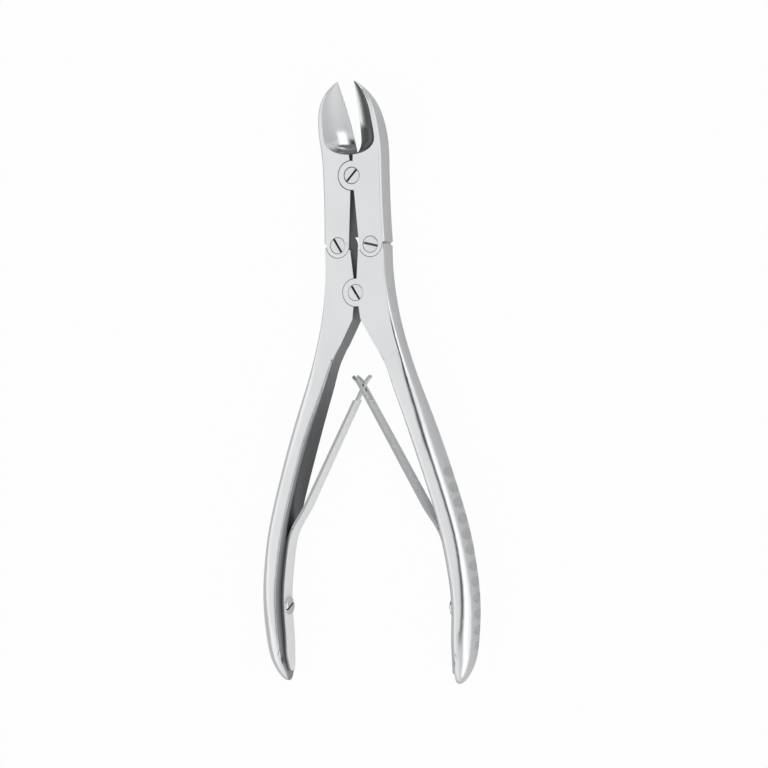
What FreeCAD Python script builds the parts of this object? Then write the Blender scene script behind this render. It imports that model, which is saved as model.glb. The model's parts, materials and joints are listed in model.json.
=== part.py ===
import FreeCAD, Part
import os
from math import atan2, cos, degrees, hypot, pi, radians, sin, sqrt, tan

# Double-action bone cutting forceps of stainless steel, lying on its back with the blades towards +Y.
# Two jaws turn on a screw between them, two handles turn on another, and each jaw is linked to the
# handle behind it by a third and a fourth screw. Squeezing the handles spreads the two link screws
# and so closes the blades. Two leaf springs between the handles open them again.
#
# The model is drawn round the handles' pivot at (0, 0, 0), with z = 0 halfway through the laps.
# At the end it is moved so that its origin is the middle of the bounding box's bottom.

# Pivot chain along the axis, with the jaws open
BLADE_REACH = 29.6           # jaw pivot to the blade tips
JAW_ARM = 21.9               # jaw pivot down to the link screws
HANDLE_ARM = 15.0            # link screws down to the handle pivot
HANDLE_REACH = 123.5         # handle pivot to the ends of the grips
LINK_HALF_SPREAD = 5.65      # link screws from the axis
TIP_HALF_GAP = 2.86          # open blade tips from the axis

# Box joint: two laps of equal thickness at every pivot
JOINT_THICKNESS = 7.2
JOINT_HALF_WIDTH = 10.4
JAW_WAIST = 0.35             # how much narrower each jaw is halfway down its arm
JAW_LOBE_RADIUS = 4.6
LINK_LOBE_RADIUS = 3.9
HANDLE_LOBE_RADIUS = 4.4
LAP_GAP = 0.04               # between the front and the rear lap
LOBE_CLEARANCE = 0.12        # round a lobe in its recess
OPEN_LOOP_CLEARANCE = 0.08   # more play at the jaw pivot, where the four-bar loop closes
EDGE_BREAK = 0.5             # chamfer along the outer edges of the jaws, in front
BACK_EDGE_BREAK = 0.25       # the same behind
NOTCH_HEIGHT = 0.9           # open notch between jaw and handle outside each link screw
HORN_TRIM_JAW = 2.6          # height above the link screw where a jaw's rear horn is cut off
HORN_TRIM_HANDLE = 1.5       # depth below the link screw where a handle's front horn is cut off
JAW_SLIT_AT_HUB = 0.6        # half gap between the jaws just below their pivot
JAW_SLIT_AT_LINK = 1.75      # half gap between the jaws at the link screws
HANDLE_SLIT_AT_HUB = 0.5     # half gap between the handles just above their pivot
HANDLE_SLIT_AT_LINK = 1.35   # half gap between the handles at the link screws
STOP_SLIT_AT_HUB = 0.85      # half gap between the handles just below their pivot
STOP_SLIT_AT_CROTCH = 1.35   # half gap between the handles where they part
CROTCH_DEPTH = 8.4           # handle pivot down to the crotch
CROTCH_ANGLE = 29.0          # degrees between each flank of the crotch and the axis
FLANK_DEPTH = 20.0           # handle pivot down to where the flank runs out into the grip

# Blades: bent up towards the front and hollow ground there, down to a cutting edge along their back
CLOSED_EDGE_GAP = 0.08       # each cutting edge from the axis when the jaws are shut
EDGE_LAND = 0.3              # thickness of the cutting edge
BEND_START = 4.0             # jaw pivot up to where the blades begin to bend
BEND_NEAR_SHARE = 0.25       # control points of the bent faces: how far along the blade from there
BEND_FAR_SHARE = 0.6
TIP_RISE = 5.9               # middle of the tips above the middle of the laps
TIP_THICKNESS = 0.6
FRONT_CROWN = 2.4            # control point of the bent front face, above the tips
BACK_CROWN = 3.0             # control point of the bent back face, above the back of the laps
HOLLOW_START = 6.6           # jaw pivot up to the lower end of the hollow
HOLLOW_HEEL = 5.0            # length of its rounded lower end
HOLLOW_SHARE = 0.82          # how far across the blade it reaches, so that a rim is left outside it
EDGE_SLOPE = 12.0            # degrees between the hollow and the lap plane at the cutting edge

# Handles: a D-section that bows outwards and ends in a rounded nose
GRIP_HALF_SPREAD = 36.9      # widest point of each grip from the axis
END_HALF_SPREAD = 29.4       # middle of each rounded end from the axis
END_LEAN = 15.0              # degrees by which the ends lean inwards
GRIP_DEPTH = 6.9             # across the grip, from its inner flat to its back
GRIP_BREADTH = 11.2          # front to back
GRIP_CHAMFER = 0.9           # along both edges of the inner flat
GRIP_FRONT_FLAT = 2.6        # width of the flat beside that chamfer, in the middle of the handle
GRIP_END_FLAT = 1.0          # width of the same flat near the end of the grip
GRIP_STOCK = 0.06            # taken off front and back to leave those flats true
GRIP_NOSE_LENGTH = 20.0
GRIP_NOSE_INSET = 2.1        # middle of the rounded end, measured from the inner flat
FLARE_START = 18.0           # below the handle pivot, where the joint's thickness begins to grow
FLARE_END = 52.0             # below the handle pivot, where the grip has its full breadth
GRIP_SECTION_COUNT = 22      # sections from the joint to the rounded end
SHOULDER_START = 7.0         # above the handle pivot, where the outer edge begins to round off
SCALLOP_COUNT = 13
SCALLOP_PITCH = 5.05
SCALLOP_RADIUS = 3.1
SCALLOP_DEPTH = 0.5
SCALLOP_START = 57.0         # first scallop, measured down from the handle pivot along the axis

# Pivot screws: slotted, flush in the front lap, threaded into the rear lap
HEAD_RADIUS = 2.6
HEAD_HEIGHT = 1.5
HEAD_CHAMFER = 0.15
SHANK_RADIUS = 1.7
SHANK_CLEARANCE = 0.05
THREAD_CLEARANCE = 0.02
SLOT_WIDTH = 0.7
SLOT_DEPTH = 0.7
JAW_SLOT_TURN = 46.0         # direction of each slot, in degrees from +X
LEFT_LINK_SLOT_TURN = -60.0
RIGHT_LINK_SLOT_TURN = -14.0
HANDLE_SLOT_TURN = -59.0

# Leaf springs: each is screwed to the inner flat of its handle and meets the other on the axis
LEAF_BASE_WIDTH = 6.2
LEAF_TIP_WIDTH = 4.8
LEAF_BASE_THICKNESS = 0.95
LEAF_TIP_THICKNESS = 0.9
LEAF_SEAT_GAP = 0.08
LEAF_FOOT = 3.0              # from the end of the grip up to the foot of the leaf
LEAF_FOOT_TAPER = 10.0       # length over which the foot narrows to its rounded end
LEAF_LIFT_OFF = 78.0         # below the handle pivot, where the leaf leaves the handle
LEAF_BEND_END = 67.0         # below the handle pivot, where its free stretch is straight
LEAF_CROSSING = 30.0         # below the handle pivot, where the two leaves cross
LEAF_STANDOFF = 4.74         # from the inner face of the handle to the leaf, where that stretch begins
LEAF_SEAT_COUNT = 16         # points along the seated stretch
LEAF_BEND_COUNT = 8          # points along the bend
LEAF_TIP_LENGTH = 3.6        # tip beyond the crossing
LEAF_TIP_CURL = 22.0         # degrees by which the tip bends further outwards
FORK_SLOT_WIDTH = 2.2
TONGUE_CLEARANCE = 0.2       # between the tongue and each prong of the fork
FORK_LENGTH = 8.0

SPRING_SCREW_DROP = 99.5     # below the handle pivot
SPRING_HEAD_RADIUS = 2.75
SPRING_HEAD_HEIGHT = 0.9
SPRING_SHANK_RADIUS = 1.25
SPRING_SHANK_LENGTH = 4.2
SPRING_HOLE_CLEARANCE = 0.1
SPRING_SLOT_TURN = 25.0

# Places that follow from the sizes above
V = FreeCAD.Vector
UP = V(0, 0, 1)
HALF = JOINT_THICKNESS / 2
FAR = HANDLE_REACH + BLADE_REACH + JAW_ARM + HANDLE_ARM
LINK_Y = HANDLE_ARM
JAW_Y = HANDLE_ARM + JAW_ARM
TIP_Y = JAW_Y + BLADE_REACH
JAW_CENTRE = V(0, JAW_Y, 0)
LINK_CENTRE = V(-LINK_HALF_SPREAD, LINK_Y, 0)
HANDLE_CENTRE = V(0, 0, 0)
JAW_PLAY = LOBE_CLEARANCE + OPEN_LOOP_CLEARANCE
CLOSING_TURN = atan2(TIP_HALF_GAP - CLOSED_EDGE_GAP, BLADE_REACH)
GRIP_HALF = GRIP_BREADTH / 2


def smooth(start, end, y):
    """0 at start, 1 at end, with a level run-in at both."""
    share = min(max((y - start) / (end - start), 0.0), 1.0)
    return share * share * (3 - 2 * share)


def mix(a, b, share):
    return a + (b - a) * share


def through(points, first=None, last=None):
    """A smooth curve through points, with the direction at its two ends where it is given."""
    curve = Part.BSplineCurve()
    if first is None:
        curve.interpolate(points)
    else:
        curve.interpolate(Points=points, InitialTangent=first, FinalTangent=last)
    return curve


def plan_solid(edges, low, high):
    """A closed outline in the lap plane, raised from z = low to z = high."""
    face = Part.Face(Part.Wire(edges))
    face.translate(V(0, 0, low))
    return face.extrude(V(0, 0, high - low))


def polygon_solid(points, low, high):
    return plan_solid(Part.makePolygon(points + points[:1]).Edges, low, high)


def disc(centre, radius, low, high):
    return Part.makeCylinder(radius, high - low, V(centre.x, centre.y, low), UP)


def mirrored(shape):
    return shape.mirror(V(0, 0, 0), V(1, 0, 0))


def front_layer():
    return LAP_GAP / 2, FAR


def rear_layer():
    return -FAR, -LAP_GAP / 2


# Jaws

def jaw_outline():
    """Outer side of the left jaw from above: beak, waisted side and shoulder over the link screw.

    The beak runs on past the tip and the outline is closed across the axis; jaw_inner_side cuts it there.
    """
    tip = V(-TIP_HALF_GAP, TIP_Y, 0)
    past_tip = tip + V(TIP_HALF_GAP * 1.2, BLADE_REACH * 0.064, 0)
    beak = [past_tip, tip]
    for along, across in ((0.912, 0.577), (0.778, 0.827), (0.593, 0.962)):
        beak.append(V(-JOINT_HALF_WIDTH * across, JAW_Y + BLADE_REACH * along, 0))
    cheek = V(-JOINT_HALF_WIDTH, JAW_Y + BLADE_REACH * 0.36, 0)
    beak.append(cheek)
    shoulder = V(-JOINT_HALF_WIDTH, LINK_Y + NOTCH_HEIGHT, 0)
    waist = V(-JOINT_HALF_WIDTH + JAW_WAIST, (cheek.y + shoulder.y) / 2, 0)
    link_foot = V(-LINK_HALF_SPREAD - LINK_LOBE_RADIUS * 0.9, LINK_Y - NOTCH_HEIGHT / 4, 0)
    far_foot = V(past_tip.x, LINK_Y, 0)
    return [through(beak).toShape(), Part.Arc(cheek, waist, shoulder).toShape(),
            Part.makeLine(shoulder, link_foot), Part.makeLine(link_foot, far_foot),
            Part.makeLine(far_foot, past_tip)]


def jaw_inner_side():
    """Everything to the right of the left jaw's cutting edge and of its side of the slit."""
    tip = V(-TIP_HALF_GAP, TIP_Y, 0)
    edge_foot = V(-CLOSED_EDGE_GAP, JAW_Y, 0)
    past_tip = tip + (tip - edge_foot) * 0.5
    hub_foot = V(-JAW_SLIT_AT_HUB, JAW_Y - JAW_LOBE_RADIUS, 0)
    inner_foot = V(-JAW_SLIT_AT_LINK, LINK_Y, 0)
    return polygon_solid([past_tip, edge_foot, hub_foot, inner_foot, V(-JAW_SLIT_AT_LINK, 0, 0),
                          V(FAR, 0, 0), V(FAR, past_tip.y, 0)], -FAR, FAR)


def bent_line(front):
    """Side view of the blade's front or back face, from the end of the flat laps to the tip."""
    start = V(0, JAW_Y + BEND_START, HALF if front else -HALF)
    end = V(0, TIP_Y, TIP_RISE + (TIP_THICKNESS if front else -TIP_THICKNESS) / 2)
    length = end.y - start.y
    near = V(0, start.y + length * BEND_NEAR_SHARE, start.z)
    far_height = end.z + FRONT_CROWN if front else start.z + BACK_CROWN
    far = V(0, start.y + length * BEND_FAR_SHARE, far_height)
    curve = Part.BezierCurve()
    curve.setPoles([start, near, far, end])
    return curve.toShape()


def height_at(line, y):
    """Height of a side-view line at y."""
    upright = Part.makeLine(V(0, y, -FAR), V(0, y, FAR))
    return upright.distToShape(line)[1][0][0].z


def bent_profile():
    """Side view of a jaw: flat laps up to the bend, then the blade that thins towards its raised tip."""
    front, back = bent_line(True), bent_line(False)
    ends = [Part.makeLine(V(0, -FAR, HALF), front.Vertexes[0].Point),
            Part.makeLine(front.Vertexes[-1].Point, back.Vertexes[-1].Point),
            Part.makeLine(back.Vertexes[0].Point, V(0, -FAR, -HALF)),
            Part.makeLine(V(0, -FAR, -HALF), V(0, -FAR, HALF))]
    profile = Part.Face(Part.Wire(Part.__sortEdges__([front, back] + ends)))
    profile.translate(V(-FAR, 0, 0))
    return profile.extrude(V(2 * FAR, 0, 0))


def hollow_section(y, share, outline, front, back):
    """Arc that leaves the cutting edge at EDGE_SLOPE and ends above the rim, closed over the blade.

    share scales it from nothing at the lower end of the hollow to its full width and depth.
    """
    top = height_at(front, y)
    edge_x = mix(-CLOSED_EDGE_GAP, -TIP_HALF_GAP, (y - JAW_Y) / BLADE_REACH)
    across = Part.makeLine(V(-2 * JOINT_HALF_WIDTH, y, 0), V(edge_x, y, 0))
    outer_x = across.distToShape(outline)[1][0][0].x
    depth = (top - height_at(back, y) - EDGE_LAND) * share
    edge = V(edge_x, y, top - depth)
    rim = V(mix(edge_x, outer_x, HOLLOW_SHARE * share), y, top + LAP_GAP)
    slope = radians(EDGE_SLOPE)
    chord = rim - edge
    bend = (atan2(chord.z, -chord.x) - slope) / 2
    sag = V(chord.z, 0, -chord.x) * (-0.5 * tan(bend))
    inner = edge + V(cos(slope), 0, -sin(slope)) * JOINT_HALF_WIDTH
    lines = Part.makePolygon([rim, V(rim.x, y, FAR), V(inner.x, y, FAR), inner, edge])
    return Part.Wire([Part.Arc(edge, edge + chord * 0.5 + sag, rim).toShape()] + lines.Edges)


def hollow():
    """The hollow in the front of the left blade, from its rounded lower end to the tip."""
    outline = Part.Wire(jaw_outline()[:2])
    front, back = bent_line(True), bent_line(False)
    sections = []
    for left in (0.995, 0.96, 0.88, 0.72, 0.5, 0.25, 0):
        y = JAW_Y + HOLLOW_START + HOLLOW_HEEL * (1 - left)
        sections.append(hollow_section(y, sqrt(1 - left ** 2), outline, front, back))
    full = HOLLOW_START + HOLLOW_HEEL
    for along in (0.2, 0.4, 0.6, 0.8, 0.92, 0.985):
        y = JAW_Y + mix(full, BLADE_REACH, along)
        sections.append(hollow_section(y, 1, outline, front, back))
    return Part.makeLoft(sections, True, False)


def outer_edge(blank, outline, height):
    """Edge along the jaw's outer side at that height; a chamfer follows it on round the bent blade."""
    found = []
    for edge in blank.Edges:
        middle = edge.valueAt((edge.FirstParameter + edge.LastParameter) / 2)
        flat_middle = Part.Vertex(V(middle.x, middle.y, 0))
        on_side = min(flat_middle.distToShape(side)[0] for side in outline) < LAP_GAP
        level = max(abs(corner.Z - height) for corner in edge.Vertexes) < LAP_GAP
        if on_side and level:
            found.append(edge)
    return found


def left_jaw_blank():
    outline = jaw_outline()
    blank = plan_solid(outline, -HALF, HALF + FAR).cut(jaw_inner_side()).common(bent_profile())
    blank = blank.makeChamfer(EDGE_BREAK, outer_edge(blank, outline[:2], HALF))
    blank = blank.makeChamfer(BACK_EDGE_BREAK, outer_edge(blank, outline[:2], -HALF))
    return blank.cut(hollow())


def jaw(blank, link_centre, hub_in_front):
    """Adds the lobes of one lap at the pivots and cuts the recesses of the other."""
    front = (LAP_GAP / 2, HALF)
    rear = (-HALF, -LAP_GAP / 2)
    own, other = (front, rear_layer()) if hub_in_front else (rear, front_layer())
    body = blank.cut(disc(JAW_CENTRE, JAW_LOBE_RADIUS + JAW_PLAY, *other))
    body = body.cut(disc(link_centre, LINK_LOBE_RADIUS + LOBE_CLEARANCE, *rear_layer()))
    trim_top = LINK_Y + HORN_TRIM_JAW
    inner = min(0, link_centre.x * 2), max(0, link_centre.x * 2)
    middle = link_centre.x
    near = (middle, inner[1]) if middle < 0 else (inner[0], middle)
    horn = Part.makeBox(near[1] - near[0], HORN_TRIM_JAW * 3, HALF,
                        V(near[0], trim_top - HORN_TRIM_JAW * 3, -HALF - LAP_GAP / 2))
    body = body.cut(horn)
    body = body.fuse([disc(JAW_CENTRE, JAW_LOBE_RADIUS, *own),
                      disc(link_centre, LINK_LOBE_RADIUS, *front)])
    return body.removeSplitter()


# Handles

def grip_line():
    """The back of the left handle in plan, from above the link screw to the end of the grip.

    Each point is a share of the way from the pivot to the end and a share of the way from the
    joint's half width out to the grip's half spread.
    """
    lean = radians(END_LEAN)
    offset = GRIP_DEPTH - GRIP_NOSE_INSET
    points = [V(-JOINT_HALF_WIDTH, LINK_Y + LINK_LOBE_RADIUS, 0), V(-JOINT_HALF_WIDTH, SHOULDER_START, 0)]
    for along, across in ((0.095, 0.115), (0.198, 0.258), (0.302, 0.435), (0.405, 0.602),
                          (0.506, 0.752), (0.611, 0.885), (0.713, 0.968), (0.80, 1.0), (0.90, 0.978)):
        points.append(V(-mix(JOINT_HALF_WIDTH, GRIP_HALF_SPREAD, across), -HANDLE_REACH * along, 0))
    points.append(V(-END_HALF_SPREAD - cos(lean) * offset, -HANDLE_REACH - sin(lean) * offset, 0))
    return through(points, V(0, -1, 0), V(sin(lean), -cos(lean), 0))


LINE = grip_line()
LINE_LENGTH = LINE.length()


def station(distance):
    """Point on the back of the handle, the direction down it and the direction to its inner face."""
    parameter = LINE.parameterAtDistance(distance, LINE.FirstParameter)
    along = LINE.tangent(parameter)[0]
    along.normalize()
    return LINE.value(parameter), along, V(-along.y, along.x, 0)


def distance_at(y):
    """Distance along the back of the handle to the height y, by halving."""
    low, high = 0.0, LINE_LENGTH
    for _ in range(40):
        middle = (low + high) / 2
        if station(middle)[0].y > y:
            low = middle
        else:
            high = middle
    return low


def nose_scale(distance):
    """Share of its full size that the section still has, along the elliptic end of the grip."""
    left = min(1.0, (LINE_LENGTH - distance) / GRIP_NOSE_LENGTH)
    return sqrt(1 - (1 - left) ** 2)


def inner_face(distance):
    """Point on the inner flat of the handle, and the direction away from it."""
    back, _, inward = station(distance)
    return back + inward * (GRIP_DEPTH - GRIP_NOSE_INSET * (1 - nose_scale(distance))), inward


def grip_section(distance):
    """D-shaped section: inner flat, two chamfers, two side flats and a crowned back."""
    back, _, inward = station(distance)
    y = back.y
    neck = smooth(-HANDLE_LOBE_RADIUS, -FLANK_DEPTH - NOTCH_HEIGHT, y)
    flare = smooth(-FLARE_START, -FLARE_END, y)
    depth = mix(JOINT_HALF_WIDTH + STOP_SLIT_AT_CROTCH, GRIP_DEPTH, neck)
    half = mix(HALF, GRIP_HALF, flare) + GRIP_STOCK
    chamfer = mix(HEAD_CHAMFER, GRIP_CHAMFER, flare)
    low_grip = smooth(-HANDLE_REACH * 0.6, -HANDLE_REACH * 0.9, y)
    flat = chamfer + mix(GRIP_FRONT_FLAT, GRIP_END_FLAT, low_grip)
    shoulder = smooth(SHOULDER_START, -FLARE_END, y)
    flat = mix(depth - EDGE_BREAK, flat, shoulder)
    fullness = mix(0.93, mix(0.72, 0.6, low_grip), shoulder)
    scale = nose_scale(distance)

    def at(u, z):
        from_back = depth - GRIP_NOSE_INSET + (GRIP_NOSE_INSET - u) * scale
        return back + inward * from_back + UP * (z * scale)

    corners = [at(0, half - chamfer), at(chamfer, half), at(flat, half)]
    crown = [at(flat, half), at(mix(flat, depth, fullness), half), at(depth, half * fullness), at(depth, 0)]
    lower_crown = [at(depth, 0), at(depth, -half * fullness),
                   at(mix(flat, depth, fullness), -half), at(flat, -half)]
    lower_corners = [at(flat, -half), at(chamfer, -half), at(0, -half + chamfer)]
    edges = [Part.makeLine(corners[0], corners[1]), Part.makeLine(corners[1], corners[2])]
    for poles in (crown, lower_crown):
        curve = Part.BezierCurve()
        curve.setPoles(poles)
        edges.append(curve.toBSpline().toShape())
    edges += [Part.makeLine(lower_corners[0], lower_corners[1]),
              Part.makeLine(lower_corners[1], lower_corners[2]),
              Part.makeLine(lower_corners[2], corners[0])]
    return Part.Wire(edges)


def handle_loft():
    nose_start = LINE_LENGTH - GRIP_NOSE_LENGTH
    distances = [nose_start * i / GRIP_SECTION_COUNT for i in range(GRIP_SECTION_COUNT + 1)]
    for left in (0.8, 0.6, 0.42, 0.26, 0.13, 0.05, 0.015, 0.003, 0.0005):
        distances.append(LINE_LENGTH - GRIP_NOSE_LENGTH * left)
    return Part.makeLoft([grip_section(d) for d in distances], True, False)


def side_profile():
    """Side view of the handles: joint thickness at the top, grip breadth below, a smooth flare between."""
    start, end = -FLARE_START, -FLARE_END
    poles = [V(0, start, HALF), V(0, mix(start, end, 1 / 3), HALF),
             V(0, mix(start, end, 2 / 3), GRIP_HALF), V(0, end, GRIP_HALF)]
    curve = Part.BezierCurve()
    curve.setPoles(poles)
    front = [Part.makeLine(V(0, FAR, HALF), poles[0]), curve.toShape(),
             Part.makeLine(poles[3], V(0, -FAR, GRIP_HALF))]
    back = [edge.mirror(V(0, 0, 0), UP) for edge in front]
    ends = [Part.makeLine(V(0, y, half), V(0, y, -half)) for y, half in ((FAR, HALF), (-FAR, GRIP_HALF))]
    profile = Part.Face(Part.Wire(Part.__sortEdges__(front + ends + back)))
    profile.translate(V(-FAR, 0, 0))
    return profile.extrude(V(2 * FAR, 0, 0))


def handle_trim():
    """Plan outline that trims the handle: link shoulder, slit beside the lobes, and crotch."""
    outside = -GRIP_HALF_SPREAD * 2
    notch = LINK_Y - NOTCH_HEIGHT / 2
    top_outer = V(outside, notch, 0)
    top_link = V(-LINK_HALF_SPREAD - LINK_LOBE_RADIUS / 2, notch, 0)
    top_inner = V(-HANDLE_SLIT_AT_LINK, LINK_Y - HORN_TRIM_HANDLE, 0)
    above_hub = V(-HANDLE_SLIT_AT_HUB, HANDLE_LOBE_RADIUS, 0)
    below_hub = V(-STOP_SLIT_AT_HUB, -HANDLE_LOBE_RADIUS, 0)
    crotch = V(-STOP_SLIT_AT_CROTCH, -CROTCH_DEPTH, 0)
    flank = crotch - V(tan(radians(CROTCH_ANGLE)), 1, 0) * (FLANK_DEPTH - CROTCH_DEPTH)
    bottom = V(flank.x, -FAR, 0)
    bottom_outer = V(outside, -FAR, 0)
    return polygon_solid([crotch, flank, bottom, bottom_outer, top_outer, top_link, top_inner,
                          above_hub, below_hub], -FAR, FAR)


def scallops():
    """Shallow transverse hollows along the back of the left grip."""
    start = distance_at(-SCALLOP_START)
    cutters = []
    for i in range(SCALLOP_COUNT):
        back, _, inward = station(start + i * SCALLOP_PITCH)
        centre = back - inward * (SCALLOP_RADIUS - SCALLOP_DEPTH)
        cutters.append(disc(centre, SCALLOP_RADIUS, -GRIP_BREADTH, GRIP_BREADTH))
    return cutters


def left_handle_blank():
    blank = handle_loft().common(side_profile()).common(handle_trim())
    return blank.cut(scallops())


def handle(blank, link_centre, hub_in_front):
    front = (LAP_GAP / 2, HALF)
    rear = (-HALF, -LAP_GAP / 2)
    own, other = (front, rear_layer()) if hub_in_front else (rear, front_layer())
    body = blank.cut(disc(HANDLE_CENTRE, HANDLE_LOBE_RADIUS + LOBE_CLEARANCE, *other))
    body = body.cut(disc(link_centre, LINK_LOBE_RADIUS + LOBE_CLEARANCE, *front_layer()))
    body = body.fuse([disc(HANDLE_CENTRE, HANDLE_LOBE_RADIUS, *own),
                      disc(link_centre, LINK_LOBE_RADIUS, *rear)])
    return body.removeSplitter()


# Pivot screws and their holes

def screw_slot(width, radius, depth, top, turn):
    slot = Part.makeBox(4 * radius, width, depth, V(-2 * radius, -width / 2, top - depth))
    slot.rotate(V(0, 0, 0), UP, turn)
    return slot


def pivot_screw(centre, turn):
    head = disc(V(0, 0, 0), HEAD_RADIUS, HALF - HEAD_HEIGHT, HALF)
    top_edges = [edge for edge in head.Edges if abs(edge.CenterOfMass.z - HALF) < LAP_GAP]
    head = head.makeChamfer(HEAD_CHAMFER, top_edges)
    screw = head.fuse(disc(V(0, 0, 0), SHANK_RADIUS, -HALF, HALF - HEAD_HEIGHT)).removeSplitter()
    screw = screw.cut(screw_slot(SLOT_WIDTH, HEAD_RADIUS, SLOT_DEPTH, HALF, turn))
    screw.translate(centre)
    return screw


def front_hole(centre, play):
    """Counterbore and running bore through the front lap."""
    bore = disc(centre, SHANK_RADIUS + play, -LAP_GAP / 2, HALF)
    floor = HALF - HEAD_HEIGHT - play / 2
    return bore.fuse(disc(centre, HEAD_RADIUS + play, floor, HALF + LAP_GAP))


def rear_hole(centre):
    return disc(centre, SHANK_RADIUS + THREAD_CLEARANCE, -HALF - LAP_GAP, LAP_GAP / 2)


# Leaf springs

def walk(curve, count):
    """Evenly spaced points of a curve, each with the direction in which the curve runs there."""
    run = []
    for i in range(count + 1):
        parameter = curve.parameterAtDistance(curve.length() * i / count, curve.FirstParameter)
        direction = V(curve.tangent(parameter)[0])
        direction.normalize()
        run.append((curve.value(parameter), direction))
    return run


def leaf_route():
    """Middle line of the left leaf as runs of (point, direction): seated, bend, straight and tip."""
    offset = LEAF_SEAT_GAP + LEAF_BASE_THICKNESS / 2
    foot = LINE_LENGTH - LEAF_FOOT
    lift = distance_at(-LEAF_LIFT_OFF)
    seated = []
    for i in range(LEAF_SEAT_COUNT + 1):
        seat, inward = inner_face(mix(foot, lift, i / LEAF_SEAT_COUNT))
        seated.append(seat + inward * offset)
    runs = [walk(through(seated), LEAF_SEAT_COUNT)]
    lift_point, lift_direction = runs[0][-1]
    crossing = V(0, -LEAF_CROSSING, 0)
    bend_end = V(inner_face(distance_at(-LEAF_BEND_END))[0].x + LEAF_STANDOFF, -LEAF_BEND_END, 0)
    rise = crossing - bend_end
    rise.normalize()
    runs.append(walk(through([lift_point, bend_end], lift_direction, rise), LEAF_BEND_COUNT))
    tip_start = crossing + rise * LEAF_TIP_THICKNESS
    runs.append([(bend_end, rise), (tip_start, rise)])
    curl = radians(LEAF_TIP_CURL)
    radius = LEAF_TIP_LENGTH / curl
    side = V(rise.y, -rise.x, 0)
    centre = tip_start + side * radius
    run = []
    for i in range(5):
        turn = curl * i / 4
        direction = rise * cos(turn) + side * sin(turn)
        run.append((centre - side * radius * cos(turn) + rise * radius * sin(turn), direction))
    runs.append(run)
    return runs


def leaf_strip():
    """Closed side outline of the leaf, tapered in thickness, raised to its full width."""
    runs = leaf_route()
    foot_y = runs[0][0][0].y
    tip_y = runs[-1][-1][0].y
    sides = []
    for side in (-1, 1):
        edges = []
        for run in runs:
            points = []
            for point, direction in run:
                share = smooth(-LEAF_LIFT_OFF, tip_y, point.y)
                half = mix(LEAF_BASE_THICKNESS, LEAF_TIP_THICKNESS, share) / 2
                points.append(point + V(direction.y, -direction.x, 0) * (half * side))
            edges.append(Part.makeLine(*points) if len(points) == 2 else through(points).toShape())
        sides.append(edges)
    outer, inner = sides
    foot = Part.makeLine(outer[0].Vertexes[0].Point, inner[0].Vertexes[0].Point)
    tip = Part.makeLine(outer[-1].Vertexes[-1].Point, inner[-1].Vertexes[-1].Point)
    loop = Part.__sortEdges__(outer + [tip] + inner + [foot])
    strip = plan_solid(loop, -LEAF_BASE_WIDTH, LEAF_BASE_WIDTH)
    base = LEAF_BASE_WIDTH / 2
    end = LEAF_TIP_WIDTH / 2
    taper = foot_y + LEAF_FOOT_TAPER
    ellipse = Part.Ellipse(V(0, foot_y - LEAF_BASE_THICKNESS, 0), V(0, taper, base), V(0, taper, 0))
    rounded = Part.Arc(ellipse, -pi / 2, pi / 2).toShape()
    half = [V(0, taper, base), V(0, -LEAF_LIFT_OFF, base),
            V(0, tip_y - end / 2, end), V(0, tip_y + end, end / 2)]
    sides = Part.makePolygon(half + [V(0, point.y, -point.z) for point in reversed(half)])
    width = Part.Face(Part.Wire(Part.__sortEdges__([rounded] + sides.Edges)))
    width.translate(V(-GRIP_HALF_SPREAD * 2, 0, 0))
    return strip.common(width.extrude(V(GRIP_HALF_SPREAD * 4, 0, 0)))


def tip_box(low, high):
    """Block over the free end of the leaves, from z = low to z = high."""
    corner = V(-LEAF_BASE_WIDTH * 2, -LEAF_CROSSING - FORK_LENGTH / 2, low)
    return Part.makeBox(LEAF_BASE_WIDTH * 4, FORK_LENGTH * 2, high - low, corner)


def forked(leaf):
    return leaf.cut(tip_box(-FORK_SLOT_WIDTH / 2, FORK_SLOT_WIDTH / 2))


def tongued(leaf):
    half = FORK_SLOT_WIDTH / 2 - TONGUE_CLEARANCE
    return leaf.cut([tip_box(half, LEAF_BASE_WIDTH), tip_box(-LEAF_BASE_WIDTH, -half)])


def place_on_inner_face(shape):
    """Takes a shape built on +Z at the origin to the left handle's inner face, +Z pointing away."""
    seat, inward = inner_face(distance_at(-SPRING_SCREW_DROP))
    placed = shape.copy()
    placed.Placement = FreeCAD.Placement(seat, FreeCAD.Rotation(UP, inward)).multiply(shape.Placement)
    return placed


def spring_screw():
    under_head = LEAF_SEAT_GAP + LEAF_BASE_THICKNESS + LEAF_SEAT_GAP
    head = disc(V(0, 0, 0), SPRING_HEAD_RADIUS, under_head, under_head + SPRING_HEAD_HEIGHT)
    top = under_head + SPRING_HEAD_HEIGHT
    top_edges = [edge for edge in head.Edges if abs(edge.CenterOfMass.z - top) < LAP_GAP]
    head = head.makeChamfer(HEAD_CHAMFER * 2, top_edges)
    shank = disc(V(0, 0, 0), SPRING_SHANK_RADIUS, -SPRING_SHANK_LENGTH, under_head)
    screw = head.fuse(shank).removeSplitter()
    depth = SPRING_HEAD_HEIGHT * 0.6
    screw = screw.cut(screw_slot(SLOT_WIDTH, SPRING_HEAD_RADIUS, depth, top, SPRING_SLOT_TURN))
    return place_on_inner_face(screw)


def spring_hole(play, low, high):
    return place_on_inner_face(disc(V(0, 0, 0), SPRING_SHANK_RADIUS + play, low, high))


# Assembly

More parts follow.
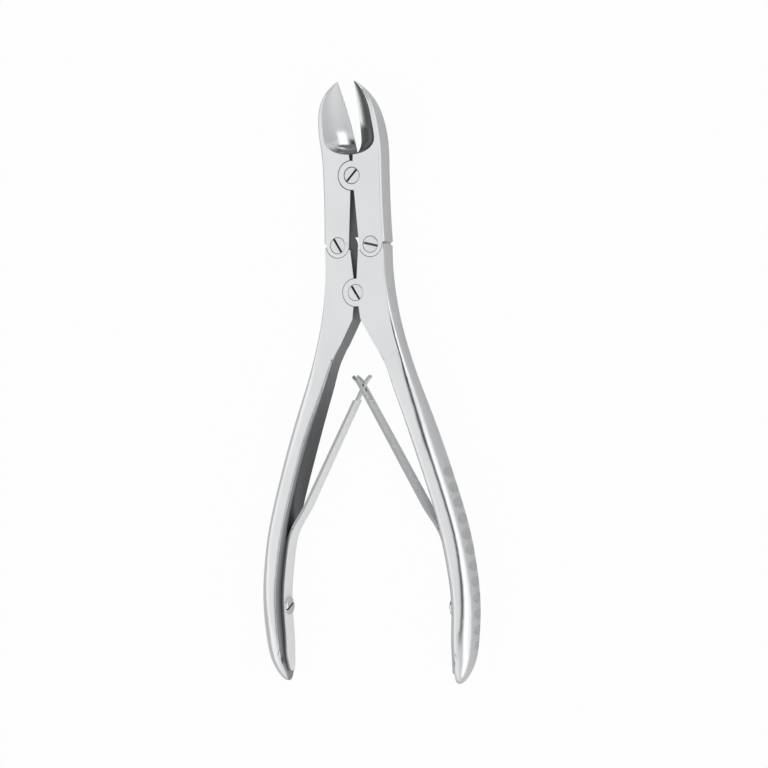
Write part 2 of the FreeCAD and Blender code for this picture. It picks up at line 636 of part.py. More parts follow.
def build():
    right_link = V(-LINK_CENTRE.x, LINK_CENTRE.y, 0)
    thread_hole = spring_hole(THREAD_CLEARANCE, -SPRING_SHANK_LENGTH - LAP_GAP, LEAF_BASE_THICKNESS)
    leaf_hole = spring_hole(SPRING_HOLE_CLEARANCE, -LEAF_BASE_THICKNESS, 2 * LEAF_BASE_THICKNESS)
    jaw_blank = left_jaw_blank()
    handle_blank = left_handle_blank().cut(thread_hole)
    leaf = leaf_strip().cut(leaf_hole)
    screw = spring_screw()

    nodes = {}
    nodes["left_jaw"] = jaw(jaw_blank, LINK_CENTRE, False).cut(
        [rear_hole(JAW_CENTRE), front_hole(LINK_CENTRE, SHANK_CLEARANCE)])
    nodes["right_jaw"] = jaw(mirrored(jaw_blank), right_link, True).cut(
        [front_hole(JAW_CENTRE, SHANK_CLEARANCE + OPEN_LOOP_CLEARANCE),
         front_hole(right_link, SHANK_CLEARANCE)])
    nodes["left_handle"] = handle(handle_blank, LINK_CENTRE, False).cut(
        [rear_hole(HANDLE_CENTRE), rear_hole(LINK_CENTRE)])
    nodes["right_handle"] = handle(mirrored(handle_blank), right_link, True).cut(
        [front_hole(HANDLE_CENTRE, SHANK_CLEARANCE), rear_hole(right_link)])
    nodes["jaw_pivot_screw"] = pivot_screw(JAW_CENTRE, JAW_SLOT_TURN)
    nodes["left_link_screw"] = pivot_screw(LINK_CENTRE, LEFT_LINK_SLOT_TURN)
    nodes["right_link_screw"] = pivot_screw(right_link, RIGHT_LINK_SLOT_TURN)
    nodes["handle_pivot_screw"] = pivot_screw(HANDLE_CENTRE, HANDLE_SLOT_TURN)
    nodes["left_leaf_spring"] = tongued(leaf)
    nodes["right_leaf_spring"] = forked(mirrored(leaf))
    nodes["left_spring_screw"] = screw
    nodes["right_spring_screw"] = mirrored(screw)
    return nodes


def closing_angles():
    """Turn of each jaw and each handle in degrees, from open until the cutting edges meet."""
    handle_link = hypot(LINK_HALF_SPREAD, HANDLE_ARM)
    jaw_link = hypot(LINK_HALF_SPREAD, JAW_ARM)
    jaw_start = atan2(LINK_HALF_SPREAD, JAW_ARM)
    handle_start = atan2(LINK_HALF_SPREAD, HANDLE_ARM)
    spread = jaw_link * sin(jaw_start + CLOSING_TURN)
    handle_turn = atan2(spread, sqrt(handle_link ** 2 - spread ** 2)) - handle_start
    return degrees(CLOSING_TURN), degrees(handle_turn)


def main():
    os.makedirs("parts", exist_ok=True)
    nodes = build()
    box = Part.makeCompound(list(nodes.values())).optimalBoundingBox(False)
    shift = V(-(box.XMin + box.XMax) / 2, -(box.YMin + box.YMax) / 2, -box.ZMin)
    for name, shape in nodes.items():
        shape.translate(shift)
        solids = len(shape.Solids)
        print(name, "solids", solids, "valid", shape.isValid(), "volume", round(shape.Volume, 1))
        shape.exportStep("parts/" + name + ".step")
    print("box", [round(v, 3) for v in (box.XLength, box.YLength, box.ZLength)])
    pivots = {"jaw pivot": JAW_CENTRE, "left link": LINK_CENTRE, "handle pivot": HANDLE_CENTRE}
    for name, place in pivots.items():
        print(name, [round(v, 4) for v in place + shift])
    jaw_turn, handle_turn = closing_angles()
    print("each jaw turns", round(jaw_turn, 4), "each handle turns", round(handle_turn, 4))


main()
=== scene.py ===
# %% [markdown]
# # Bone cutting forceps
#
# The forceps lie on a pale floor and are seen from almost straight above. The steel parts come from the
# imported CAD model, which is loaded first and never moved. This lesson gives them a finish, a camera, a
# floor and light, and it cuts the two leaf springs across so that they have points to bend at.

# %% Load the frame
import json

import bmesh
import bpy
import numpy as np
from mathutils import Matrix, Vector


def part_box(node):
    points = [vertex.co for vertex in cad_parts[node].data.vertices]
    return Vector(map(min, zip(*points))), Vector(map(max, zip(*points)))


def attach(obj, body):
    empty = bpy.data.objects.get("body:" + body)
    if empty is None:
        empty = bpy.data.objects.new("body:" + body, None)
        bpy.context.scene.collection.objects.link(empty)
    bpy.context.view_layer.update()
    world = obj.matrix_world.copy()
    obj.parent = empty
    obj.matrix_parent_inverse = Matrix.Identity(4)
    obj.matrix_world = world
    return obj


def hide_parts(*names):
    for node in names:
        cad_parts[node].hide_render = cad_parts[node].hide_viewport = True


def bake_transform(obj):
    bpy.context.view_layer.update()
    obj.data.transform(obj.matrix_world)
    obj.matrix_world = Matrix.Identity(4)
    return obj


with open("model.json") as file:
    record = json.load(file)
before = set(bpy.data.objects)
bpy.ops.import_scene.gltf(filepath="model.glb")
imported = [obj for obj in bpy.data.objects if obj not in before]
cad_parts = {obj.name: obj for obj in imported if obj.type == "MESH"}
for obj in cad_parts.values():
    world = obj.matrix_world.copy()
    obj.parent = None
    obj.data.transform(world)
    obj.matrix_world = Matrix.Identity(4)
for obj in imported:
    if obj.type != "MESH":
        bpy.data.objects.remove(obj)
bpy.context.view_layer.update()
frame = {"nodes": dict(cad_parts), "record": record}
nodes = frame["nodes"]

# %% [markdown]
# ## Camera
#
# The photograph was taken from above and a little from the right, with a long lens. The camera is placed
# first, so that every later choice can be compared with the photograph. Its axes are worked out from three
# small turns, and its position is a point on the viewing line through the middle of the part.

# %% Camera
MM = 0.001
IMAGE_PIXELS = 768
PIXELS_PER_MM = 3.159
VIEW_DISTANCE = 850 * MM
CAMERA_YAW = 24.0
CAMERA_PITCH = 0.8
CAMERA_ROLL = 1.9
PART_MIDDLE_PIXEL = (363.2, 382.7)
SENSOR_WIDTH = 36.0


def turn(axis, degrees):
    """Rotation matrix about one of the three axes: cosine on the diagonal, sine off it."""
    c, s = np.cos(np.radians(degrees)), np.sin(np.radians(degrees))
    i, j = [k for k in range(3) if k != axis]
    matrix = np.eye(3)
    matrix[i, i] = matrix[j, j] = c
    matrix[i, j], matrix[j, i] = -s, s
    return matrix


def make_camera():
    """Rows of the view matrix are the camera's right, up and back directions."""
    view = turn(2, CAMERA_ROLL) @ turn(0, CAMERA_PITCH) @ turn(1, CAMERA_YAW)
    low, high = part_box("left_handle")
    middle = np.array([0.0, 0.0, (low.z + high.z) / 2])
    across = (IMAGE_PIXELS / 2 - PART_MIDDLE_PIXEL[0]) / PIXELS_PER_MM * MM
    upward = (PART_MIDDLE_PIXEL[1] - IMAGE_PIXELS / 2) / PIXELS_PER_MM * MM
    place = middle + view.T @ np.array([across, upward, VIEW_DISTANCE])
    data = bpy.data.cameras.new("camera")
    data.sensor_width = SENSOR_WIDTH
    data.lens = PIXELS_PER_MM / MM * VIEW_DISTANCE / IMAGE_PIXELS * SENSOR_WIDTH
    camera = bpy.data.objects.new("camera", data)
    bpy.context.scene.collection.objects.link(camera)
    matrix = np.eye(4)
    matrix[:3, :3] = view.T
    matrix[:3, 3] = place
    camera.matrix_world = Matrix(matrix)
    bpy.context.scene.camera = camera
    print("camera at", place.round(4), "lens", round(data.lens, 1))


make_camera()

# %% [markdown]
# ## Writing shaders as sums
#
# A node tree is easier to read as an expression. The class below wraps one socket, and the usual
# operators add the Math nodes, so that `1 - mask * 0.5` makes three nodes. Any other node comes from
# `node`, which takes its type, its settings and the values or links of its sockets.

# %% Socket class
class Wire:
    """One output socket. Operators on it add Math nodes to its tree."""

    def __init__(self, tree, socket):
        self.tree, self.socket = tree, socket

    def node(self, kind, sockets=None, output=0, **settings):
        return add_node(self.tree, kind, sockets, output, **settings)

    def maths(self, operation, *others):
        return self.node("ShaderNodeMath", dict(enumerate((self, *others))), operation=operation)

    def __add__(self, other):
        return self.maths("ADD", other)

    def __sub__(self, other):
        return self.maths("SUBTRACT", other)

    def __rsub__(self, other):
        return self.node("ShaderNodeMath", {0: other, 1: self}, operation="SUBTRACT")

    def __mul__(self, other):
        return self.maths("MULTIPLY", other)

    __radd__ = __add__
    __rmul__ = __mul__

    def fade(self, low, high, start=0.0, end=1.0):
        """Goes smoothly from start to end while the value goes from low to high."""
        return self.node("ShaderNodeMapRange", {"Value": self, "From Min": low, "From Max": high,
                                                "To Min": start, "To Max": end},
                         interpolation_type="SMOOTHSTEP")


def add_node(tree, kind, sockets=None, output=0, **settings):
    """Adds a node, makes its settings first, and then fills its sockets with values or links."""
    made = tree.nodes.new(kind)
    for name, value in settings.items():
        setattr(made, name, value)
    for name, value in (sockets or {}).items():
        if isinstance(value, Wire):
            tree.links.new(value.socket, made.inputs[name])
        else:
            made.inputs[name].default_value = value
    return Wire(tree, made.outputs[output])


# %% [markdown]
# ## Steel
#
# Satin steel is one metal everywhere, but its finish varies. Fine brushing runs along each piece and makes
# the gloss vary, and faint cloudiness comes from polishing. Every steel here shares one recipe: a colour, a
# roughness, and two noises that read Object coordinates, which stay put when a piece moves.
#
# Some steels also take a function that changes them by marks stored on the mesh. Those marks are set so
# that the photograph's view comes out right. Most of them are painted shade and a painted highlight in the
# colour, which stand for what the steel mirrors there, in a studio that can't be seen, and they aren't
# known facts about its finish.

# %% Steel recipe
STEEL = (0.79, 0.80, 0.81, 1.0)
SCREW_STEEL = (0.77, 0.78, 0.79, 1.0)
SPRING_STEEL = (0.74, 0.75, 0.76, 1.0)
GRIP_ROUNDING = 1.3 * MM
GRIP_FADE = 15 * MM
# Painted shade: the dark colour of the inner faces, for the shadowed floor they mirror.
INNER_SHADE_PAINT = (0.20, 0.205, 0.21, 1.0)
# Painted shade: the dark colour of the right jaw's hollow, for the dark reflection it shows.
HOLLOW_SHADE_PAINT = (0.13, 0.135, 0.14, 1.0)
# Painted shade for the scallops and the jaws' outer chamfers.
SCALLOP_SHADE_PAINT = (0.66, 0.67, 0.68, 1.0)
MATT_STEEL = (0.74, 0.75, 0.76, 1.0)
# Painted highlight: the near-white colour of a band low in the left hollow.
HEEL_HIGHLIGHT_PAINT = (0.98, 0.98, 0.98, 1.0)
# Painted light and shade on the leaf springs: pale broad faces, darker narrow edges.
LEAF_FACE_LIGHT_PAINT = (0.88, 0.89, 0.90, 1.0)
LEAF_EDGE_SHADE_PAINT = (0.42, 0.43, 0.44, 1.0)
# Painted shade: the colour deep in the screw slots.
SLOT_SHADE_PAINT = (0.10, 0.105, 0.11, 1.0)
RING_PITCH = 0.16 * MM
SLOT_DEPTHS = (0.06 * MM, 0.45 * MM)
HEAD_RADII = (2.45 * MM, 2.6 * MM)
BUMP_STRENGTH = 0.02
BUMP_DISTANCE = 0.02 * MM
CLOUD_GRAIN = (90.0, 60.0, 90.0)
BRUSHING_GLOSS = 0.08
CLOUD_GLOSS = 0.06
DULL_SHARE = 0.94
INNER_FADE_UP = (-15 * MM, 12 * MM, 1.0, 0.72)     # along y: from, to, share of dark at each
INNER_FADE_END = (-93 * MM, -88 * MM, 0.7, 1.0)
INNER_GLOSS = 0.12
SCALLOP_GLOSS = 0.14
MATT_GLOSS = 0.2
MATT_METAL_LOSS = 0.9
LEAF_GLOSS = 0.15
LEAF_METAL_LOSS = 0.95


def new_material(name):
    material = bpy.data.materials.new(name)
    material.use_nodes = True
    tree = material.node_tree
    tree.nodes.clear()
    return material, tree


def stretched_noise(tree, coords, scale, detail=2.0):
    """Noise whose grain is scale = (x, y, z) cells per metre."""
    mapped = add_node(tree, "ShaderNodeMapping", {"Vector": coords, "Scale": scale})
    return add_node(tree, "ShaderNodeTexNoise", {"Vector": mapped, "Scale": 1.0, "Detail": detail})


def split(coords):
    """The three parts of a vector."""
    return [coords.node("ShaderNodeSeparateXYZ", {0: coords}, output=i) for i in range(3)]


def mix_colour(tree, low, high, share):
    made = tree.nodes.new("ShaderNodeMix")
    made.data_type = "RGBA"
    for i, value in ((0, share), (6, low), (7, high)):
        if isinstance(value, Wire):
            tree.links.new(value.socket, made.inputs[i])
        else:
            made.inputs[i].default_value = value
    return Wire(tree, made.outputs[2])


def mix_vector(tree, low, high, share):
    made = tree.nodes.new("ShaderNodeMix")
    made.data_type = "VECTOR"
    for i, wire in ((0, share), (4, low), (5, high)):
        tree.links.new(wire.socket, made.inputs[i])
    return Wire(tree, made.outputs[1])


def finish_material(tree, colour, roughness, height, metallic, normal):
    """Principled metal with a very low bump, and the material's output."""
    bump = add_node(tree, "ShaderNodeBump", {"Height": height, "Strength": BUMP_STRENGTH,
                                             "Distance": BUMP_DISTANCE, "Normal": normal})
    shader = add_node(tree, "ShaderNodeBsdfPrincipled", {"Base Color": colour, "Roughness": roughness,
                                                         "Metallic": metallic, "Normal": bump})
    add_node_output(tree, shader)


def add_node_output(tree, shader):
    out = tree.nodes.new("ShaderNodeOutputMaterial")
    tree.links.new(shader.socket, out.inputs["Surface"])


def attribute(tree, name):
    """A number that is stored with the mesh."""
    return add_node(tree, "ShaderNodeAttribute", output="Fac", attribute_name=name)


def steel_material(name, grain, roughness=0.18, colour=STEEL, masked=None, soft_below=None):
    """Brushed steel: grain is the brushing's cells per metre along x, y and z.

    Below y = soft_below the shading goes over to normals that are rounded by GRIP_ROUNDING.
    """
    material, tree = new_material(name)
    coords = add_node(tree, "ShaderNodeTexCoord", output="Object")
    brushing = stretched_noise(tree, coords, grain, 3.0)
    cloud = stretched_noise(tree, coords, CLOUD_GRAIN, 2.0)
    gloss = roughness + (brushing - 0.5) * BRUSHING_GLOSS + (cloud - 0.5) * CLOUD_GLOSS
    dull = tuple(c * DULL_SHARE for c in colour[:3]) + (1.0,)
    shade = mix_colour(tree, dull, colour, (cloud + brushing * 0.6).fade(0.45, 1.1))
    height = brushing
    metallic = 1.0
    if masked:
        shade, gloss, height, metallic = masked(tree, coords, shade, gloss, height)
    normal = add_node(tree, "ShaderNodeNewGeometry", output="Normal")
    if soft_below:
        soft = add_node(tree, "ShaderNodeBevel", {"Radius": GRIP_ROUNDING}, samples=6)
        normal = mix_vector(tree, normal, soft, split(coords)[1].fade(soft_below, soft_below - GRIP_FADE))
    finish_material(tree, shade, gloss, height, metallic, normal)
    return material


def painted_light_faces(tree, coords, shade, gloss, height):
    """Changes the steel at the marks of mark_painted_light_faces: painted shade, a painted highlight and a
    matt finish. The painted shade on inner faces lightens towards both their ends.
    """
    inner = attribute(tree, "painted_inner_shade")
    hollow = attribute(tree, "painted_hollow_shade")
    scallop = attribute(tree, "scallop")
    # Painted shade: the scallops and the outer chamfers a little greyer.
    shade = mix_colour(tree, shade, SCALLOP_SHADE_PAINT, scallop)
    # Painted shade: the right jaw's hollow goes dark.
    shade = mix_colour(tree, shade, HOLLOW_SHADE_PAINT, hollow)
    y = split(coords)[1]
    # Painted shade on the inner faces, fading out towards both their ends.
    dark = y.fade(*INNER_FADE_UP) * y.fade(*INNER_FADE_END)
    shade = mix_colour(tree, shade, INNER_SHADE_PAINT, inner * dark)
    matt = attribute(tree, "matt_hollow") + attribute(tree, "pale_chamfer")
    shade = mix_colour(tree, shade, MATT_STEEL, matt)
    # Painted highlight: a near-white band low in the left hollow.
    shade = mix_colour(tree, shade, HEEL_HIGHLIGHT_PAINT, attribute(tree, "painted_heel_highlight"))
    gloss = gloss + inner * INNER_GLOSS + scallop * SCALLOP_GLOSS + matt * MATT_GLOSS
    return shade, gloss, height, 1 - matt * MATT_METAL_LOSS


def leaf_faces(tree, coords, shade, gloss, height):
    """Painted light and shade: pale matt broad faces and darker narrow edges, as the leaves look in the
    photograph.
    """
    face = attribute(tree, "leaf_face")
    shade = mix_colour(tree, LEAF_EDGE_SHADE_PAINT, LEAF_FACE_LIGHT_PAINT, face)
    return shade, gloss + face * LEAF_GLOSS, height, 1 - face * LEAF_METAL_LOSS


def turned_head(tree, coords, shade, gloss, height):
    """Fine turning rings on the head, and painted shade in the slot that darkens with its depth."""
    centre = add_node(tree, "ShaderNodeAttribute", output="Vector", attribute_name="screw_centre")
    offset = add_node(tree, "ShaderNodeVectorMath", {0: coords, 1: centre}, operation="SUBTRACT")
    radius = add_node(tree, "ShaderNodeVectorMath", {0: offset}, output="Value", operation="LENGTH")
    rings = (radius * (2 * np.pi / RING_PITCH)).maths("SINE")
    depth = attribute(tree, "depth_below_head")
    # Painted shade in the slot, darker the deeper it lies.
    deep = depth.fade(*SLOT_DEPTHS) * radius.fade(*HEAD_RADII, 1.0, 0.0)
    shade = mix_colour(tree, shade, SLOT_SHADE_PAINT, deep)
    return shade, gloss + rings * 0.03 + deep * 0.2, height + rings * 0.25, 1.0


# %% [markdown]
# ## Buffed copies
#
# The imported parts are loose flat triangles, which is right for a check and poor for a mirror: every
# triangle would show in the steel. Each part is therefore copied, its points are merged and its flat faces
# joined. Curved faces are shaded smooth, and a bevel rounds the sharp edges by 0.06 mm, and by 0.24 mm
# beside the inner faces of the grips, as a buffing wheel does. Very short edges and the ends of the grips
# stay sharp, because the bevel makes spikes there.

# %% Buffed copies
MERGE_DISTANCE = 0.001 * MM
FLAT_ANGLE = 0.02
SHARP_ANGLE = 16.0
WIDEST_ROUNDING = 0.24 * MM
USUAL_WEIGHT = 0.25
SHORTEST_ROUNDED = 0.12 * MM
GRIP_END = -91 * MM


def merged_mesh(name):
    """The node's triangles with their points merged and flat neighbours joined into one face."""
    work = bmesh.new()
    work.from_mesh(nodes[name].data)
    bmesh.ops.remove_doubles(work, verts=work.verts, dist=MERGE_DISTANCE)
    bmesh.ops.dissolve_degenerate(work, edges=work.edges, dist=MERGE_DISTANCE)
    bmesh.ops.dissolve_limit(work, angle_limit=np.radians(FLAT_ANGLE), verts=work.verts, edges=work.edges)
    return work


def add_piece(name, work, node_name, body, material, rounded=None):
    """Makes an object of the work mesh that stands for a node and takes its material."""
    for face in work.faces:
        face.smooth = True
    weight = work.edges.layers.float.new("bevel_weight_edge")
    for edge in work.edges:
        edge.smooth = bool(edge.calc_face_angle(0.0) < np.radians(SHARP_ANGLE))
        left_sharp = edge.calc_length() < SHORTEST_ROUNDED or edge.verts[0].co.y < GRIP_END
        edge[weight] = 0.0 if edge.smooth or left_sharp else USUAL_WEIGHT
        if rounded and edge[weight] and rounded(edge):
            edge[weight] = 1.0
    mesh = bpy.data.meshes.new(name)
    work.to_mesh(mesh)
    work.free()
    mesh.materials.clear()
    mesh.materials.append(material)
    piece = bpy.data.objects.new(name, mesh)
    bpy.context.scene.collection.objects.link(piece)
    bevel = piece.modifiers.new("buffed edges", "BEVEL")
    bevel.width = WIDEST_ROUNDING
    bevel.segments = 3
    bevel.limit_method = "WEIGHT"
    bevel.use_clamp_overlap = False
    piece.modifiers.new("even normals", "WEIGHTED_NORMAL").keep_sharp = True
    depsgraph = bpy.context.evaluated_depsgraph_get()
    rounded_mesh = bpy.data.meshes.new_from_object(piece.evaluated_get(depsgraph), depsgraph=depsgraph,
                                                   preserve_all_data_layers=True)
    piece.modifiers.clear()
    piece.data = rounded_mesh
    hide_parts(node_name)
    if body:
        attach(piece, body)
    print(name, len(rounded_mesh.polygons), "faces")
    return piece


def body_of_node(name):
    for body, members in frame["record"]["behaviour"]["bodies"].items():
        if name in members:
            return body


def face_arrays(mesh):
    """Normals and centres of all faces, as two arrays."""
    normals = np.zeros(len(mesh.polygons) * 3)
    centres = np.zeros(len(mesh.polygons) * 3)
    mesh.polygons.foreach_get("normal", normals)
    mesh.polygons.foreach_get("center", centres)
    return normals.reshape(-1, 3), centres.reshape(-1, 3)


def point_array(mesh):
    points = np.zeros(len(mesh.vertices) * 3)
    mesh.vertices.foreach_get("co", points)
    return points.reshape(-1, 3)


# %% [markdown]
# ## Jaws and handles
#
# The four big pieces carry the marks that the steel reads. Each mark is a number from 0 to 1:
#
# - `painted_inner_shade`: painted shade, dark on the left handle's faces towards the axis, and on the jaws'
#   steep ones;
# - `pale_chamfer`: pale and matt, on the right handle's faces towards the axis, chamfers included. They
#   are hidden or nearly edge-on in the photograph, and being pale they throw light on the right leaf;
# - `scallop`: painted shade, slightly greyer, on the scallops of the grips and the outer chamfers of the
#   jaws;
# - `painted_hollow_shade` and `matt_hollow`: painted shade makes the right jaw's hollow dark, and the left
#   jaw's is mostly matt;
# - `painted_heel_highlight`: a painted highlight, a light band low in the left hollow.

# %% Jaws and handles
SCALLOP_TOP = -25 * MM
HOLLOW_FOOT = 72 * MM
CHAMFER_FOOT = HOLLOW_FOOT - 30 * MM
HEEL_TOP = 80 * MM
HEEL_FADE = 3 * MM
MATT_FADE = (HEEL_TOP - 1.5 * MM, HEEL_TOP + 1 * MM)
HEEL_LOW = 73.4 * MM
HEEL_CLIMB = 5.0 * MM
GRIP_TOP = 10 * MM
GRIP_FOOT = -86 * MM
TOWARDS_AXIS = 0.25
SCALLOP_TILT = 0.02
SCALLOP_AWAY = 0.2
CHAMFER_TILTS = (0.5, 0.85)
CHAMFER_AWAY = 0.5
PALE_TILT = 0.9
HOLLOW_TILT = 0.15
DARK_SLOPES = (0.24, 0.50)
HEEL_SLOPES = (-0.1, 0.15)     # nx below the first or ny above the second
MATT_SLOPES = (0.15, 0.40)
HEEL_MATT_SLOPES = (0.60, 0.72)
BAND_EDGES = (0.42, 0.12)     # the band's outer and inner half width, as shares of HEEL_CLIMB


def corner_arrays(mesh):
    """Smooth normal and place of every face corner, as two arrays."""
    normals = np.zeros(len(mesh.loops) * 3)
    mesh.corner_normals.foreach_get("vector", normals)
    owners = np.zeros(len(mesh.loops), int)
    mesh.loops.foreach_get("vertex_index", owners)
    return normals.reshape(-1, 3), point_array(mesh)[owners]


def ease(low, high, value):
    """0 at low, 1 at high, smooth in between; low may be the larger one."""
    share = np.clip((value - low) / (high - low), 0.0, 1.0)
    return share * share * (3 - 2 * share)


def store(mesh, name, domain, values):
    mark = mesh.attributes.new(name, "FLOAT", domain)
    mark.data.foreach_set("value", values.astype(np.float32))


def mark_painted_light_faces(piece, dark_tilt, pale_chamfer):
    """Stores the marks listed above.

    With t = -sign(x) nx, a face looks towards the axis where t > TOWARDS_AXIS, and it gets painted shade
    where also |nz| < dark_tilt. A hollow is where nz > HOLLOW_TILT above HOLLOW_FOOT.
    """
    mesh = piece.data
    normals, centres = face_arrays(mesh)
    towards = -np.sign(centres[:, 0]) * normals[:, 0]
    tilt = np.abs(normals[:, 2])
    inner = towards > TOWARDS_AXIS
    # Painted shade: inner faces steeper than dark_tilt get the dark colour.
    store(mesh, "painted_inner_shade", "FACE", (inner & (tilt < dark_tilt)) * 1.0)
    # Painted shade marks: scallops low on the grips and the jaws' outer chamfers.
    scallops = (tilt < SCALLOP_TILT) & (towards < -SCALLOP_AWAY) & (centres[:, 1] < SCALLOP_TOP)
    chamfers = (tilt > CHAMFER_TILTS[0]) & (tilt < CHAMFER_TILTS[1])
    chamfers = chamfers & (towards < -CHAMFER_AWAY) & (centres[:, 1] > CHAMFER_FOOT)
    store(mesh, "scallop", "FACE", (scallops | chamfers) * 1.0)
    pale = pale_chamfer * inner * (tilt >= dark_tilt) * (tilt < PALE_TILT)
    pale = pale * (centres[:, 1] < HOLLOW_FOOT)
    store(mesh, "pale_chamfer", "FACE", pale * 1.0)
    normals, places = corner_arrays(mesh)
    hollow = (normals[:, 2] > HOLLOW_TILT) & (places[:, 1] > HOLLOW_FOOT)
    on_left = places[:, 0] < 0
    heel = ease(HEEL_TOP + HEEL_FADE, HEEL_TOP, places[:, 1])
    heel_side = (normals[:, 0] < HEEL_SLOPES[0]) | (normals[:, 1] > HEEL_SLOPES[1])
    # Painted shade on the right hollow where it looks left, and at its heel.
    looks_left = np.maximum(ease(*DARK_SLOPES, -normals[:, 0]), heel * heel_side)
    store(mesh, "painted_hollow_shade", "CORNER", looks_left * hollow * (places[:, 0] > 0))
    above_heel = ease(*MATT_FADE, places[:, 1])
    looks_right = np.maximum(ease(*MATT_SLOPES, normals[:, 0]) * above_heel,
                             ease(*HEEL_MATT_SLOPES, normals[:, 0]))
    matt = looks_right * hollow * on_left
    store(mesh, "matt_hollow", "CORNER", matt)
    # Painted highlight: a band across the left hollow's heel.
    store(mesh, "painted_heel_highlight", "CORNER", matt * heel_band(places, hollow & on_left))


def heel_band(places, hollow):
    """1 in the painted highlight's band that climbs across the heel: its middle is HEEL_LOW + HEEL_CLIMB *
    share across.
    """
    foot = hollow & (np.abs(places[:, 1] - HEEL_LOW - HEEL_CLIMB / 2) < HEEL_CLIMB / 2)
    if not foot.any():
        return np.zeros(len(places))
    left, right = places[foot, 0].min(), places[foot, 0].max()
    share = (places[:, 0] - left) / (right - left)
    off = np.abs(places[:, 1] - HEEL_LOW - HEEL_CLIMB * share)
    return ease(HEEL_CLIMB * BAND_EDGES[0], HEEL_CLIMB * BAND_EDGES[1], off)


def is_grip_edge(edge):
    """Edge between a handle's front or back flat and the chamfer beside its inner face."""
    if len(edge.link_faces) != 2 or not GRIP_FOOT < edge.verts[0].co.y < GRIP_TOP:
        return False
    tilts = sorted(abs(face.normal.z) for face in edge.link_faces)
    chamfer = min(edge.link_faces, key=lambda face: abs(face.normal.z))
    return tilts[1] > 0.95 and 0.5 < tilts[0] < 0.9 and chamfer.normal.x * edge.verts[0].co.x < 0


jaw_steel = steel_material("jaw_steel", (2500.0, 220.0, 2500.0), 0.16, masked=painted_light_faces)
handle_steel = steel_material("handle_steel", (2600.0, 160.0, 2600.0), masked=painted_light_faces,
                              soft_below=GRIP_TOP)
for name, steel, slot in (("left_jaw", jaw_steel, "jaw_steel"), ("right_jaw", jaw_steel, "jaw_steel"),
                          ("left_handle", handle_steel, "handle_steel"),
                          ("right_handle", handle_steel, "handle_steel")):
    half = add_piece("polished_" + name, merged_mesh(name), name, body_of_node(name), steel,
                     is_grip_edge if slot == "handle_steel" else None)
    dark_tilt = {"left_handle": 0.85, "right_handle": 0.0}.get(name, 0.3)
    mark_painted_light_faces(half, dark_tilt, name == "right_handle")

# %% [markdown]
# ## Screws
#
# A screw head is turned, so its marks are rings round its own axis. The mesh carries the head's centre and
# how deep each point lies below the head, and the steel draws the rings and the slot's painted shade from
# the two.

# %% Screws
def screw_axis(mesh, centre):
    """Normal of the screw's largest face, turned so that it points up or towards the instrument's axis."""
    areas = np.zeros(len(mesh.polygons))
    mesh.polygons.foreach_get("area", areas)
    axis = face_arrays(mesh)[0][np.argmax(areas)]
    outwards = np.array([-np.sign(round(centre[0] / MM, 3)), 0.0, 0.0])
    if abs(axis[2]) > 0.9:
        outwards = np.array([0.0, 0.0, 1.0])
    return axis * np.sign(axis @ outwards)


def mark_screw(piece):
    points = point_array(piece.data)
    centre = points.mean(axis=0)
    axis = screw_axis(piece.data, centre)
    along = (points - centre) @ axis
    off_axis = points - centre - along[:, None] * axis
    middle = centre + off_axis.mean(axis=0) + axis * along.max()
    depth = piece.data.attributes.new("depth_below_head", "FLOAT", "POINT")
    depth.data.foreach_set("value", (along.max() - along).astype(np.float32))
    place = piece.data.attributes.new("screw_centre", "FLOAT_VECTOR", "POINT")
    place.data.foreach_set("vector", np.tile(middle, len(points)).astype(np.float32))


screw_steel = steel_material("screw_steel", (1800.0, 1800.0, 1800.0), 0.20, SCREW_STEEL, turned_head)
for name in nodes:
    if name.endswith("_screw"):
        screw = add_piece("turned_" + name, merged_mesh(name), name, body_of_node(name),
                          screw_steel)
        mark_screw(screw)

# %% [markdown]
# ## Leaf springs
#
# A leaf spring is screwed to its handle at the foot and bends in between. The copy of each leaf is cut
# across every millimetre and a half, so that it has points to bend at.

# %% Leaf springs
LEAF_LIFT_OFF = (29.3 * MM, -49.4 * MM)
LEAF_CUT_SPACING = 1.5 * MM


def bending_leaf(name, side):
    work = merged_mesh(name)
    start = np.array([LEAF_LIFT_OFF[0] * side, LEAF_LIFT_OFF[1], 0.0])
    tip = max((vert.co for vert in work.verts), key=lambda place: place.y)
    tip = np.array([tip.x, tip.y, 0.0])
    for y in np.arange(start[1], tip[1] - LEAF_CUT_SPACING, LEAF_CUT_SPACING):
        everything = work.verts[:] + work.edges[:] + work.faces[:]
        bmesh.ops.bisect_plane(work, geom=everything, plane_co=(0, y, 0), plane_no=(0, 1, 0))
    leaf = add_piece("bending_" + name, work, name, None, spring_steel)
    # Painted light on the leaf's broad faces; its narrow edges keep the painted shade.
    store(leaf.data, "leaf_face", "FACE", (np.abs(face_arrays(leaf.data)[0][:, 2]) < 0.5) * 1.0)
    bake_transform(leaf)


spring_steel = steel_material("spring_steel", (900.0, 200.0, 2600.0), 0.20, SPRING_STEEL, leaf_faces)
bending_leaf("left_leaf_spring", -1)
bending_leaf("right_leaf_spring", 1)

# %% [markdown]
# ## Floor
#
# The floor is a plain pale sheet. The camera sees it as white with a faint shadow, the steel mirrors it a
# little greyer, with stronger shadows, and everything else meets an ordinary matt surface.

# %% Floor
FLOOR_SIZE = 6.0
FLOOR_DROP = 0.05 * MM
FLOOR_GREY = (0.75, 0.75, 0.75, 1.0)
WHITE = (1.0, 1.0, 1.0, 1.0)
WHITE_SHARE_SEEN = 0.97
WHITE_SHARE_MIRRORED = 0.15


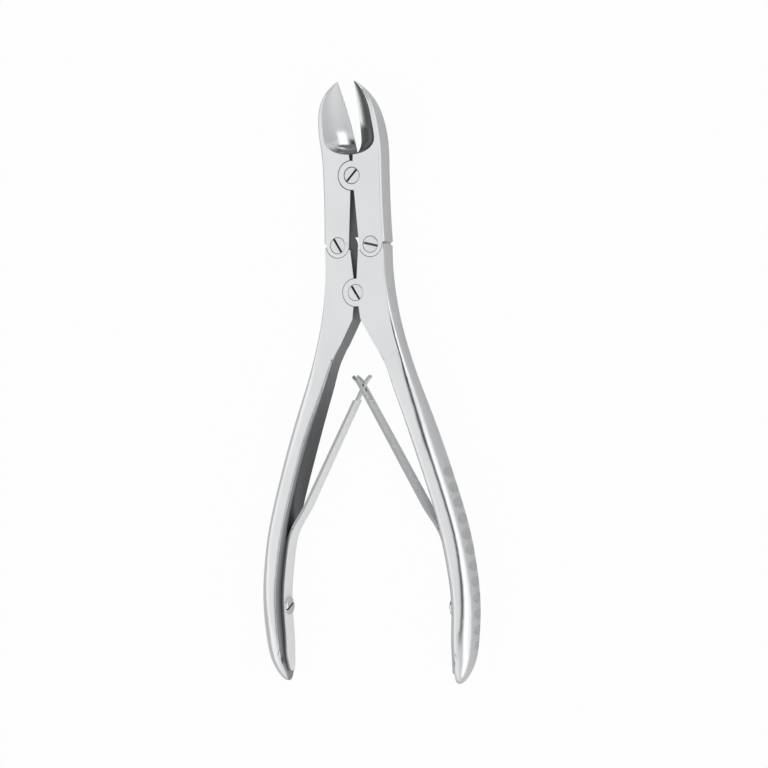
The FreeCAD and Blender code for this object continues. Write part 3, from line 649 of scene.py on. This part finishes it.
def make_floor():
    half = FLOOR_SIZE / 2
    mesh = bpy.data.meshes.new("floor")
    corners = [(-half, -half, -FLOOR_DROP), (half, -half, -FLOOR_DROP), (half, half, -FLOOR_DROP),
               (-half, half, -FLOOR_DROP)]
    mesh.from_pydata(corners, [], [(0, 1, 2, 3)])
    floor = bpy.data.objects.new("floor", mesh)
    bpy.context.scene.collection.objects.link(floor)
    material, tree = new_material("floor_white")
    seen = add_node(tree, "ShaderNodeLightPath", output="Is Camera Ray")
    mirrored = add_node(tree, "ShaderNodeLightPath", output="Is Glossy Ray")
    matt = add_node(tree, "ShaderNodeBsdfDiffuse", {"Color": FLOOR_GREY})
    white = add_node(tree, "ShaderNodeEmission", {"Color": WHITE, "Strength": 1.0})
    share = seen * WHITE_SHARE_SEEN + mirrored * WHITE_SHARE_MIRRORED
    both = add_node(tree, "ShaderNodeMixShader", {0: share, 1: matt, 2: white})
    add_node_output(tree, both)
    mesh.materials.append(material)


make_floor()

# %% [markdown]
# ## Light
#
# Polished metal shows what surrounds it, so the studio is a sky whose brightness depends only on the
# direction. Each direction has two angles, from straight up towards the right and from level towards the
# blades' end. The sky starts plain, and soft-edged cards are laid over it as in a studio: white ones give
# the bright streaks along the rounded grips, and black ones the dark lines beside them. Seen directly, the
# sky is plain white.

# %% Studio sky
PLAIN_SKY = 0.72
SOFT_EDGE = 16.0
CARDS = (
    # across from, to, along from, to, level
    (-72, -14, -95, 95, 0.95),    # large screen over the left side, seen in every flat
    (-62, -36, -40, 40, 1.15),    # its bright lower part, seen in the left crown
    (-200, -74, -95, 95, 0.50),   # dim wall on the left
    (-12, 20, -14, 40, 0.06),     # dark gap between the two screens
    (26, 82, -70, 34, 1.40),      # lamp over the right side: the streak on the right grip
    (-100, 62, 30, 120, 0.20),    # dark wall beyond the blades, seen in the heels of the hollows
    (62, 140, -30, 95, 1.10),     # bright wall on the right
)


def card_mask(across, along, left, right, low, high):
    """1 inside a card and 0 outside it, with edges that fade over SOFT_EDGE degrees."""
    half = SOFT_EDGE / 2
    inside = across.fade(left - half, left + half) * across.fade(right - half, right + half, 1.0, 0.0)
    return inside * along.fade(low - half, low + half) * along.fade(high - half, high + half, 1.0, 0.0)


def make_sky():
    world = bpy.data.worlds.new("studio")
    bpy.context.scene.world = world
    world.use_nodes = True
    tree = world.node_tree
    tree.nodes.clear()
    direction = add_node(tree, "ShaderNodeTexCoord", output="Generated")
    x, y, z = split(direction)
    degrees = 180 / np.pi
    across = x.maths("ARCTAN2", z) * degrees
    along = y.maths("ARCSINE") * degrees
    level = PLAIN_SKY
    for left, right, low, high, brightness in CARDS:
        level = level + (brightness - level) * card_mask(across, along, left, right, low, high)
    seen = add_node(tree, "ShaderNodeLightPath", output="Is Camera Ray")
    level = seen + (1 - seen) * level
    back = add_node(tree, "ShaderNodeBackground", {"Color": WHITE, "Strength": level})
    out = tree.nodes.new("ShaderNodeOutputWorld")
    tree.links.new(back.socket, out.inputs["Surface"])


make_sky()

# %% Finish
bpy.context.scene.view_settings.view_transform = "Standard"
